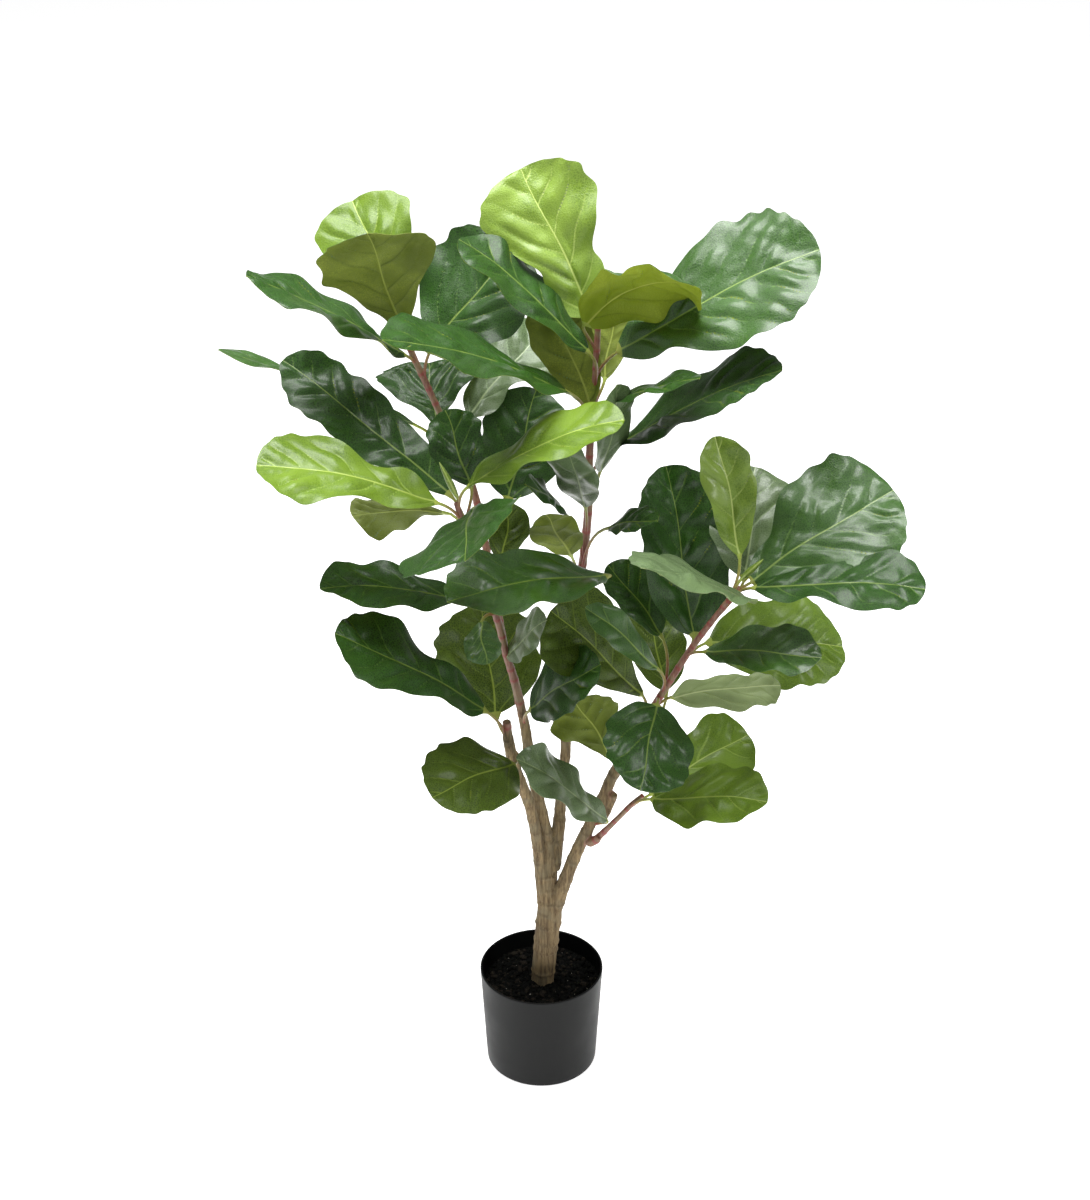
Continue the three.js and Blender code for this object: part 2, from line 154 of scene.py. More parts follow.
# a live leaf: waxy skin over soft tissue. The wax gives a soft, whitish shine on the upper side;
# the underside has little wax and looks matt and olive. Deep and light are the skin's two greens,
# and deep is also painted shade in the creases beside the side veins; vein is the midrib, side the
# side veins, net the small veins, and shine the skin's own gloss
leafTones = {
    "bright": {
        "deep": "#5c7a16", "light": "#7f9c30", "vein": "#b8ca6c", "side": "#a4ba5a", "net": "#86a236",
        "rough": 0.42, "shine": 0.55, "wax": 0.5},
    "fresh": {
        "deep": "#4a680a", "light": "#69861c", "vein": "#a2b656", "side": "#8ba544", "net": "#728e26",
        "rough": 0.44, "shine": 0.36, "wax": 0.4},
    "moss": {
        "deep": "#293c04", "light": "#40540c", "vein": "#84963c", "side": "#6c8030", "net": "#586e20",
        "rough": 0.46, "shine": 0.25, "wax": 0.25},
    "mid": {
        "deep": "#163a05", "light": "#2a520e", "vein": "#7a943e", "side": "#5e8036", "net": "#446c22",
        "rough": 0.38, "shine": 0.55, "wax": 0.6},
    "dark": {
        "deep": "#0e2604", "light": "#1b3a08", "vein": "#6c8238", "side": "#506e2c", "net": "#365e1c",
        "rough": 0.42, "shine": 0.26, "wax": 0.38},
    "pale": {
        "deep": "#3c502c", "light": "#586e44", "vein": "#8ea072", "side": "#788e62", "net": "#6c8256",
        "rough": 0.42, "shine": 0.5, "wax": 0.5},
    # painted light: the olive and lime undersides are made lighter than the leaf's own colour, to stand in
    # for light shining through the thin blade
    "olive": {
        "deep": "#5c6a16", "light": "#869436", "vein": "#98a44a", "side": "#56621c", "net": "#66742a",
        "rough": 0.55, "shine": 0.3, "wax": 0.0},
    "lime": {
        "deep": "#8ca01e", "light": "#aaba3a", "vein": "#bec65a", "side": "#7e8e20", "net": "#90a02c",
        "rough": 0.55, "shine": 0.3, "wax": 0.0},
    "underPale": {
        "deep": "#68784a", "light": "#8a9a68", "vein": "#a8b280", "side": "#75854e", "net": "#7c8c58",
        "rough": 0.55, "shine": 0.3, "wax": 0.0},
}
# a real leaf's finest veins are under 1 mm apart; both nets here are coarser, so that they show
leafLook = {
    "midribWidth": 1.3, "veinWidth": 1.2, "creaseShadeWidth": 3.5, "creaseShadeShare": 0.6, "fadeFrom": 0.3, "fadeTo": 0.15,
    "netCell": 2.4, "netCore": 0.03, "netShare": 0.6, "fineCell": 1.3, "fineCore": 0.02, "fineShare": 0.3,
    "bendCell": 9, "bendReach": 3, "patch": 55, "roughPatch": 25, "roughLess": 0.08, "roughMore": 0.12,
    "waxRoughness": 0.28, "grain": 5, "bumpDepth": 0.45, "bumpStrength": 0.6,
    "stalkRough": 0.42, "stalkSpots": 3, "stalkBump": 0.4,
    "stalkRed": ("#8a4a3e", "#8f9a46"), "stalkGreen": ("#8a5a44", "#a9bb54"),
}


def veinLines(tree):
    # 1 on the midrib, on a side vein and, as painted shade in the crease, on the skin close to a side vein,
    # and 0 away from them
    rib = addNode(tree, "ShaderNodeAttribute", {"attribute_name": "rib"}).outputs["Fac"]
    gap = addNode(tree, "ShaderNodeAttribute", {"attribute_name": "veinGap"}).outputs["Fac"]
    margin = addNode(tree, "ShaderNodeAttribute", {"attribute_name": "margin"}).outputs["Fac"]
    midrib = addNode(tree, "ShaderNodeMapRange", softStep, {
        0: rib, 1: leafLook["midribWidth"] * 0.4, 2: leafLook["midribWidth"], 3: 1.0, 4: 0.0})
    fade = addNode(tree, "ShaderNodeMapRange", softStep, {
        0: margin, 1: leafLook["fadeFrom"], 2: 1.0, 3: 1.0, 4: leafLook["fadeTo"]})
    side = addNode(tree, "ShaderNodeMapRange", softStep, {
        0: gap, 1: leafLook["veinWidth"] * 0.2, 2: leafLook["veinWidth"], 3: fade.outputs[0], 4: 0.0})
    # painted shade in the creases: the skin beside each side vein is darkened towards the deep green
    creaseShade = addNode(tree, "ShaderNodeMapRange", softStep, {
        0: gap, 1: 0.3, 2: leafLook["creaseShadeWidth"], 3: leafLook["creaseShadeShare"], 4: 0.0})
    return midrib.outputs[0], side.outputs[0], creaseShade.outputs[0]


def netLines(tree, place):
    # the net of small veins and the finer one inside it, bent a little so that they follow no grid
    warp = addNode(tree, "ShaderNodeTexNoise", None, {
        "Vector": place, "Scale": 1 / (leafLook["bendCell"] * mm), "Detail": 1.0})
    bent = addNode(tree, "ShaderNodeMix", {"data_type": "VECTOR"}, {
        0: leafLook["bendReach"] * mm, 4: place, 5: warp.outputs["Color"]})
    lines = []
    for size in ("net", "fine"):
        cells = addNode(tree, "ShaderNodeTexVoronoi", {"feature": "DISTANCE_TO_EDGE"}, {
            "Vector": bent.outputs[1], "Scale": 1 / (leafLook[size + "Cell"] * mm)})
        line = addNode(tree, "ShaderNodeMapRange", softStep, {
            0: cells.outputs["Distance"], 1: leafLook[size + "Core"], 2: 0.2,
            3: leafLook[size + "Share"], 4: 0.0})
        lines.append(line.outputs[0])
    return lines


def leafMaterial(name, tone, upper):
    look = leafTones[tone]
    material, tree, shader = newMaterial(
        name, look["rough"], Specular_IOR_Level=look["shine"],
        Coat_Weight=look["wax"], Coat_Roughness=leafLook["waxRoughness"])
    place = addNode(tree, "ShaderNodeTexCoord").outputs["Object"]
    midrib, side, creaseShade = veinLines(tree)
    net, fine = netLines(tree, place)
    cloud = addNode(tree, "ShaderNodeTexNoise", None, {
        "Vector": place, "Scale": 1 / (leafLook["patch"] * mm), "Detail": 3.0})
    patches = addNode(tree, "ShaderNodeMapRange", softStep, {0: cloud.outputs["Fac"], 1: 0.36, 2: 0.66})
    colour = addNode(tree, "ShaderNodeMix", colourMix, {
        0: patches.outputs[0], 6: look["deep"], 7: look["light"]}).outputs[2]
    # the first mix is painted shade in the creases beside the side veins; the rest are the veins' own colours
    for share, part in ((creaseShade, "deep"), (fine, "net"), (net, "net"), (side, "side"), (midrib, "vein")):
        colour = addNode(tree, "ShaderNodeMix", colourMix, {0: share, 6: colour, 7: look[part]}).outputs[2]
    tree.links.new(colour, shader.inputs["Base Color"])
    gloss = addNode(tree, "ShaderNodeTexNoise", None, {
        "Vector": place, "Scale": 1 / (leafLook["roughPatch"] * mm), "Detail": 4.0})
    rough = addNode(tree, "ShaderNodeMapRange", softStep, {
        0: gloss.outputs["Fac"], 1: 0.3, 2: 0.7,
        3: look["rough"] - leafLook["roughLess"], 4: look["rough"] + leafLook["roughMore"]})
    tree.links.new(rough.outputs[0], shader.inputs["Roughness"])
    # the veins are grooves above and ridges below, and the skin is a little uneven
    lines = addNode(tree, "ShaderNodeMath", {"operation": "ADD"}, {0: net, 1: fine})
    lines = addNode(tree, "ShaderNodeMath", {"operation": "ADD"}, {0: lines.outputs[0], 1: side})
    uneven = addNode(tree, "ShaderNodeTexNoise", None, {
        "Vector": place, "Scale": 1 / (leafLook["grain"] * mm), "Detail": 3.0})
    height = addNode(tree, "ShaderNodeMath", {"operation": "MULTIPLY_ADD"}, {
        0: lines.outputs[0], 1: -1.0 if upper else 1.0, 2: uneven.outputs["Fac"]})
    bump = addNode(tree, "ShaderNodeBump", None, {
        "Strength": leafLook["bumpStrength"], "Distance": leafLook["bumpDepth"] * mm,
        "Height": height.outputs[0]})
    tree.links.new(bump.outputs["Normal"], shader.inputs["Normal"])
    return material


def stalkMaterial(name):
    # a leaf stalk: smooth green skin flushed red-brown near the stem, a little waxy
    low, high = leafLook[name]
    material, tree, shader = newMaterial(name, leafLook["stalkRough"])
    place = addNode(tree, "ShaderNodeTexCoord").outputs["Object"]
    along = addNode(tree, "ShaderNodeAttribute", {"attribute_name": "stalk"}).outputs["Fac"]
    spots = addNode(tree, "ShaderNodeTexNoise", None, {
        "Vector": place, "Scale": 1 / (leafLook["stalkSpots"] * mm), "Detail": 3.0}).outputs["Fac"]
    share = addNode(tree, "ShaderNodeMath", {"operation": "MULTIPLY_ADD"}, {0: spots, 1: 0.6, 2: along})
    share = addNode(tree, "ShaderNodeMapRange", None, {0: share.outputs[0], 1: 0.6, 2: 1.3})
    colour = addNode(tree, "ShaderNodeMix", colourMix, {0: share.outputs[0], 6: low, 7: high})
    tree.links.new(colour.outputs[2], shader.inputs["Base Color"])
    bump = addNode(tree, "ShaderNodeBump", None, {
        "Strength": 0.3, "Distance": leafLook["stalkBump"] * mm, "Height": spots})
    tree.links.new(bump.outputs["Normal"], shader.inputs["Normal"])
    return material


uppers = {tone: leafMaterial("leafUpper" + tone.capitalize(), tone, True)
          for tone in ("bright", "fresh", "moss", "mid", "dark", "pale")}
unders = {tone: leafMaterial("leafUnder" + tone.capitalize(), tone, False)
          for tone in ("underPale", "olive", "lime")}
stalks = {name: stalkMaterial(name) for name in ("stalkRed", "stalkGreen")}
print("materials: leaves and stalks")

# bark on the old wood, and smooth young shoots with a ring wherever a leaf has stood
stems = {
    "sides": 22, "voxel": 0.9, "smoothing": 3, "barkStart": 8.5, "barkFull": 11.5,
    "samples": 40, "stubSamples": 20, "firstRing": 12, "ringGap": 22, "ringStray": 6,
    "ringHeight": 0.08, "ringWidth": 2.0, "ridge": 0.3,
    "barkDark": "#54432f", "barkLight": "#98835f", "barkGrey": "#7f765d", "barkCrack": "#4a3c2d",
    "barkScar": "#4e3d2b", "shootDark": "#6e3f36", "shootLight": "#99705f", "shootGreen": "#7d7650",
    "shootRing": "#8d443f", "barkRough": 0.85, "shootRough": 0.45,
    "fibre": 2.8, "fibreStretch": 0.07, "plate": 3.2, "patch": 17, "bumpDepth": 1.1, "bumpStrength": 0.9,
}
# x, y, z and diameter at each bend, from the foot to the tip
stemLines = {
    "trunk": [
        (0, 0, 23, 20), (1, 0, 96, 25), (5, 0, 153, 27), (9, 0, 203, 28), (7, 0, 243, 22),
        (7, 0, 273, 19), (6, 0, 300, 14),
    ],
    "low_left": [
        (6, 0, 195, 16), (2, -4, 232, 15), (-4, -11, 298, 13), (-12, -22, 354, 12), (-23, -35, 398, 12),
        (-31, -47, 435, 12), (-35, -54, 463, 11), (-36, -59, 486, 9),
    ],
    "left": [
        (12, 0, 259, 18), (6, 0, 300, 15), (-3, -4, 352, 13), (-11, -7, 400, 12), (-16, -9, 439, 11),
        (-22, -14, 478, 10), (-29, -18, 515, 9), (-37, -22, 547, 8), (-43, -27, 581, 8), (-54, -38, 627, 7),
        (-64, -45, 660, 7), (-78, -51, 711, 6), (-84, -54, 737, 6),
    ],
    "upper_left": [
        (-39, -23, 556, 9), (-45, 14, 573, 8), (-56, 47, 621, 8), (-71, 68, 693, 8), (-95, 78, 751, 7),
        (-118, 81, 807, 7), (-132, 81, 841, 7), (-141, 81, 873, 6),
    ],
    "centre": [
        (13, 0, 259, 17), (17, 5, 291, 15), (20, 8, 318, 14), (21, 11, 335, 12), (26, 16, 397, 11),
        (28, 20, 440, 12), (34, 27, 536, 10), (44, 30, 630, 9), (49, 34, 689, 9), (50, 38, 753, 8),
        (54, 40, 818, 8), (57, 40, 888, 6),
    ],
    "right": [
        (10, 0, 181, 17), (17, -4, 213, 16), (26, -8, 246, 15), (39, -12, 289, 14), (53, -15, 326, 13),
        (67, -18, 363, 13), (77, -19, 393, 12), (101, -22, 447, 10), (122, -24, 489, 8), (155, -34, 558, 7),
        (185, -47, 614, 6), (200, -54, 643, 5),
    ],
    "low_right": [
        (51, -16, 305, 10), (61, -24, 316, 8), (81, -31, 344, 6), (97, -36, 367, 6), (109, -40, 382, 5),
    ],
}
# the cut ends of two old side shoots
stubLines = {
    "right_stub": [(66, -16, 337, 12), (74, -20, 358, 11), (78, -24, 373, 10)],
    "low_right_knob": [(53, -19, 306, 10), (60, -26, 315, 9), (63, -28, 321, 7)],
}


def smoothLine(points, count):
    points = np.array(points, float)
    n = len(points)
    padded = np.vstack([2 * points[0] - points[1], points, 2 * points[-1] - points[-2]])
    out = []
    for place in np.linspace(0, n - 1, count):
        i = min(int(place), n - 2)
        t = place - i
        p0, p1, p2, p3 = padded[i:i + 4]
        out.append(0.5 * (2 * p1 + (p2 - p0) * t + (2 * p0 - 5 * p1 + 4 * p2 - p3) * t * t
                          + (3 * p1 - p0 - 3 * p2 + p3) * t ** 3))
    return np.array(out)


def unit(v):
    v = np.asarray(v, float)
    return v / np.maximum(np.linalg.norm(v, axis=-1, keepdims=True), 1e-9)


def loftFaces(count, sides, start=0):
    faces = []
    for i in range(count - 1):
        for j in range(sides):
            a = start + i * sides + j
            b = start + i * sides + (j + 1) % sides
            faces.append((a, b, b + sides, a + sides))
    faces.append(tuple(start + j for j in reversed(range(sides))))
    faces.append(tuple(start + (count - 1) * sides + j for j in range(sides)))
    return faces


stemCurves = {
    name: smoothLine(line, stems["samples"] * (len(line) - 1) + 1) for name, line in stemLines.items()}


def barkMaterial():
    # bark: dry grey-brown cork with fine upright cracks; young shoots are smooth, flushed pink-brown
    # and redder at the rings, with a soft shine
    material, tree, shader = newMaterial("bark", stems["barkRough"])
    place = addNode(tree, "ShaderNodeTexCoord").outputs["Object"]
    shoot = addNode(tree, "ShaderNodeAttribute", {"attribute_name": "shoot"}).outputs["Fac"]
    knot = addNode(tree, "ShaderNodeAttribute", {"attribute_name": "knot"}).outputs["Fac"]
    upright = addNode(tree, "ShaderNodeMapping", None, {
        "Vector": place, "Scale": (1, 1, stems["fibreStretch"])}).outputs[0]
    fibres = addNode(tree, "ShaderNodeTexNoise", None, {
        "Vector": upright, "Scale": 1 / (stems["fibre"] * mm), "Detail": 8.0,
        "Roughness": 0.75}).outputs["Fac"]
    plates = addNode(tree, "ShaderNodeTexVoronoi", {"feature": "DISTANCE_TO_EDGE"}, {
        "Vector": upright, "Scale": 1 / (stems["plate"] * mm), "Randomness": 1.0}).outputs["Distance"]
    cloud = addNode(tree, "ShaderNodeTexNoise", None, {
        "Vector": place, "Scale": 1 / (stems["patch"] * mm), "Detail": 4.0}).outputs["Fac"]
    fibreShare = addNode(tree, "ShaderNodeMapRange", softStep, {0: fibres, 1: 0.32, 2: 0.66}).outputs[0]
    crack = addNode(tree, "ShaderNodeMapRange", softStep, {
        0: plates, 1: 0.0, 2: 0.05, 3: 0.15, 4: 0.0}).outputs[0]
    lichen = addNode(tree, "ShaderNodeMapRange", softStep, {
        0: cloud, 1: 0.42, 2: 0.66, 3: 0.0, 4: 0.55}).outputs[0]
    scar = addNode(tree, "ShaderNodeMath", {"operation": "MULTIPLY"}, {0: knot, 1: lichen}).outputs[0]
    wood = addNode(tree, "ShaderNodeMix", colourMix, {
        0: fibreShare, 6: stems["barkDark"], 7: stems["barkLight"]}).outputs[2]
    for share, tint in ((lichen, "barkGrey"), (crack, "barkCrack"), (scar, "barkScar")):
        wood = addNode(tree, "ShaderNodeMix", colourMix, {0: share, 6: wood, 7: stems[tint]}).outputs[2]
    young = addNode(tree, "ShaderNodeMix", colourMix, {
        0: fibreShare, 6: stems["shootDark"], 7: stems["shootLight"]}).outputs[2]
    for share, tint in ((lichen, "shootGreen"), (knot, "shootRing")):
        young = addNode(tree, "ShaderNodeMix", colourMix, {0: share, 6: young, 7: stems[tint]}).outputs[2]
    # the change from bark to shoot follows the fibres, so that it has no straight edge
    edge = addNode(tree, "ShaderNodeMath", {"operation": "MULTIPLY_ADD"}, {0: fibres, 1: 0.8, 2: shoot})
    age = addNode(tree, "ShaderNodeMapRange", softStep, {0: edge.outputs[0], 1: 0.7, 2: 1.1}).outputs[0]
    colour = addNode(tree, "ShaderNodeMix", colourMix, {0: age, 6: wood, 7: young})
    tree.links.new(colour.outputs[2], shader.inputs["Base Color"])
    rough = addNode(tree, "ShaderNodeMapRange", None, {0: age, 3: stems["barkRough"], 4: stems["shootRough"]})
    tree.links.new(rough.outputs[0], shader.inputs["Roughness"])
    deep = addNode(tree, "ShaderNodeMapRange", None, {0: age, 3: 1.0, 4: 0.25}).outputs[0]
    height = addNode(tree, "ShaderNodeMath", {"operation": "SUBTRACT"}, {0: fibres, 1: crack}).outputs[0]
    height = addNode(tree, "ShaderNodeMath", {"operation": "MULTIPLY"}, {0: height, 1: deep}).outputs[0]
    bump = addNode(tree, "ShaderNodeBump", None, {
        "Strength": stems["bumpStrength"], "Distance": stems["bumpDepth"] * mm, "Height": height})
    tree.links.new(bump.outputs["Normal"], shader.inputs["Normal"])
    return material


def tubeRings(line, knots):
    points, radii = line[:, :3], line[:, 3] / 2
    tangents = unit(np.gradient(points, axis=0))
    side = np.array([1.0, 0, 0])
    turns = np.linspace(0, 2 * math.pi, stems["sides"], endpoint=False)
    rings = []
    for p, t, r, knot in zip(points, tangents, radii, knots):
        side = unit(side - t * side.dot(t))
        across = np.cross(t, side)
        radius = r * (1 + stems["ringHeight"] * knot)
        rings.append(p + radius * (np.cos(turns)[:, None] * side + np.sin(turns)[:, None] * across))
    return np.array(rings)


def stemTubes():
    # one closed tube for each branch and stub, with rings at uneven steps
    rng = np.random.default_rng(11)
    stubs = [smoothLine(line, stems["stubSamples"]) for line in stubLines.values()]
    lines = list(stemCurves.values()) + stubs
    points, faces, knotShares = [], [], []
    for line in lines:
        steps = np.linalg.norm(np.diff(line[:, :3], axis=0), axis=1)
        distance = np.concatenate([[0], np.cumsum(steps)])
        places = np.arange(stems["firstRing"], distance[-1], stems["ringGap"])
        places = places + rng.uniform(-stems["ringStray"], stems["ringStray"], len(places))
        knots = np.exp(-((distance[:, None] - places) / stems["ringWidth"]) ** 2).sum(axis=1)
        rings = tubeRings(line, knots)
        faces += loftFaces(len(rings), stems["sides"], len(points))
        points += list(rings.reshape(-1, 3))
        knotShares.append(knots)
    return points, faces, np.vstack(lines), np.concatenate(knotShares)


def joinSkin(piece):
    # one skin over all the branches, softened where they join
    remesh = piece.modifiers.new("whole", "REMESH")
    remesh.mode = "VOXEL"
    remesh.voxel_size = stems["voxel"] * mm
    smooth = piece.modifiers.new("soft", "SMOOTH")
    smooth.iterations = stems["smoothing"]
    mesh = bpy.data.meshes.new_from_object(piece.evaluated_get(bpy.context.evaluated_depsgraph_get()))
    piece.modifiers.clear()
    piece.data = mesh
    return mesh


def makeStems():
    points, faces, centre, knots = stemTubes()
    piece = makeObject("stems_piece", points, faces, [barkMaterial()])
    mesh = joinSkin(piece)
    co = np.empty(len(mesh.vertices) * 3, dtype=np.float32)
    normals = np.empty(len(mesh.vertices) * 3, dtype=np.float32)
    mesh.vertices.foreach_get("co", co)
    mesh.vertices.foreach_get("normal", normals)
    co, normals = co.reshape(-1, 3) / mm, normals.reshape(-1, 3)
    # each point takes its age and its rings from the nearest centre line, a batch at a time
    nearest = np.empty(len(co), dtype=int)
    batch = 4000
    for i in range(0, len(co), batch):
        away = ((co[i:i + batch, None, :] - centre[None, :, :3]) ** 2).sum(axis=2)
        nearest[i:i + batch] = away.argmin(axis=1)
    shoot = (stems["barkFull"] - centre[nearest, 3]) / (stems["barkFull"] - stems["barkStart"])
    shoot = np.clip(shoot, 0, 1)
    setAttribute(mesh, "shoot", shoot)
    setAttribute(mesh, "knot", np.clip(knots[nearest], 0, 1))
    # low ridges of bark run up the old wood
    turn = np.arctan2(co[:, 1] - centre[nearest, 1], co[:, 0] - centre[nearest, 0])
    ridges = np.sin(turn * 5 + co[:, 2] * 0.04 + 2 * np.sin(co[:, 2] * 0.03))
    ridges += 0.6 * np.sin(turn * 11 - co[:, 2] * 0.07) + 0.5 * np.sin(co[:, 2] * 0.21 + 2 * turn)
    co += normals * (stems["ridge"] * ridges * (1 - shoot))[:, None]
    mesh.vertices.foreach_set("co", (co * mm).ravel())
    mesh.update()
    mesh.shade_smooth()
    standFor(piece, "stems")
    return len(mesh.polygons)


print("stems:", makeStems(), "faces")

# how every leaf is made; the plan below says where each one is. The lengths that end in Step are
# between one bulge, swell or wrinkle and the next
leafShape = {
    "thickness": 0.55, "edgeThickness": 0.35, "stalkRadius": 1.5, "stalkFoot": 2.3, "stalkTurn": 0.3,
    "stalkRings": 9, "stalkBlend": 0.07, "along": 1.7, "alongCount": (34, 84), "across": 2.3,
    "acrossCount": (20, 46), "budCounts": (22, 13),
    "firstVein": 4, "veinSpacing": 31, "veinSlant": 0.95, "veinBend": 0.005, "veinShift": 0.35,
    "wander": 4, "wanderStep": 60, "quilt": 4.0, "quiltStep": 46, "pucker": 0.06, "puckerStep": 15,
    "swell": 2.6, "swellStep": 75, "sway": 2.5, "groove": 0.9, "grooveWidth": 2.4,
    "ribRidge": 1.1, "ribWidth": 1.5, "lobe": 0.07, "ripple": 0.01, "edgeWaves": (2.3, 2.6),
    "tipNotch": 0.2, "footLobes": 0.2, "capStart": 0.8,
}
# half-width, as a share of the widest, at each share of the length; the tip is rounded off after it
outlines = {
    "fiddle": [
        (0, 0.1), (0.1, 0.46), (0.22, 0.54), (0.36, 0.5), (0.54, 0.8), (0.7, 1), (0.85, 0.97), (1, 0.72)],
    "paddle": [
        (0, 0.12), (0.12, 0.36), (0.25, 0.46), (0.38, 0.74), (0.54, 0.97), (0.7, 1), (0.86, 0.88), (1, 0.6)],
    "wedge": [(0, 0.08), (0.18, 0.3), (0.38, 0.56), (0.58, 0.86), (0.74, 1), (0.87, 0.96), (1, 0.66)],
    "round": [(0, 0.12), (0.09, 0.5), (0.24, 0.82), (0.44, 1), (0.64, 0.98), (0.84, 0.84), (1, 0.56)],
    "strap": [(0, 0.1), (0.1, 0.42), (0.26, 0.72), (0.48, 0.93), (0.68, 1), (0.86, 0.86), (1, 0.52)],
    "bud": [(0, 0.5), (0.2, 0.85), (0.4, 1), (0.7, 0.7), (1, 0.3)],
}
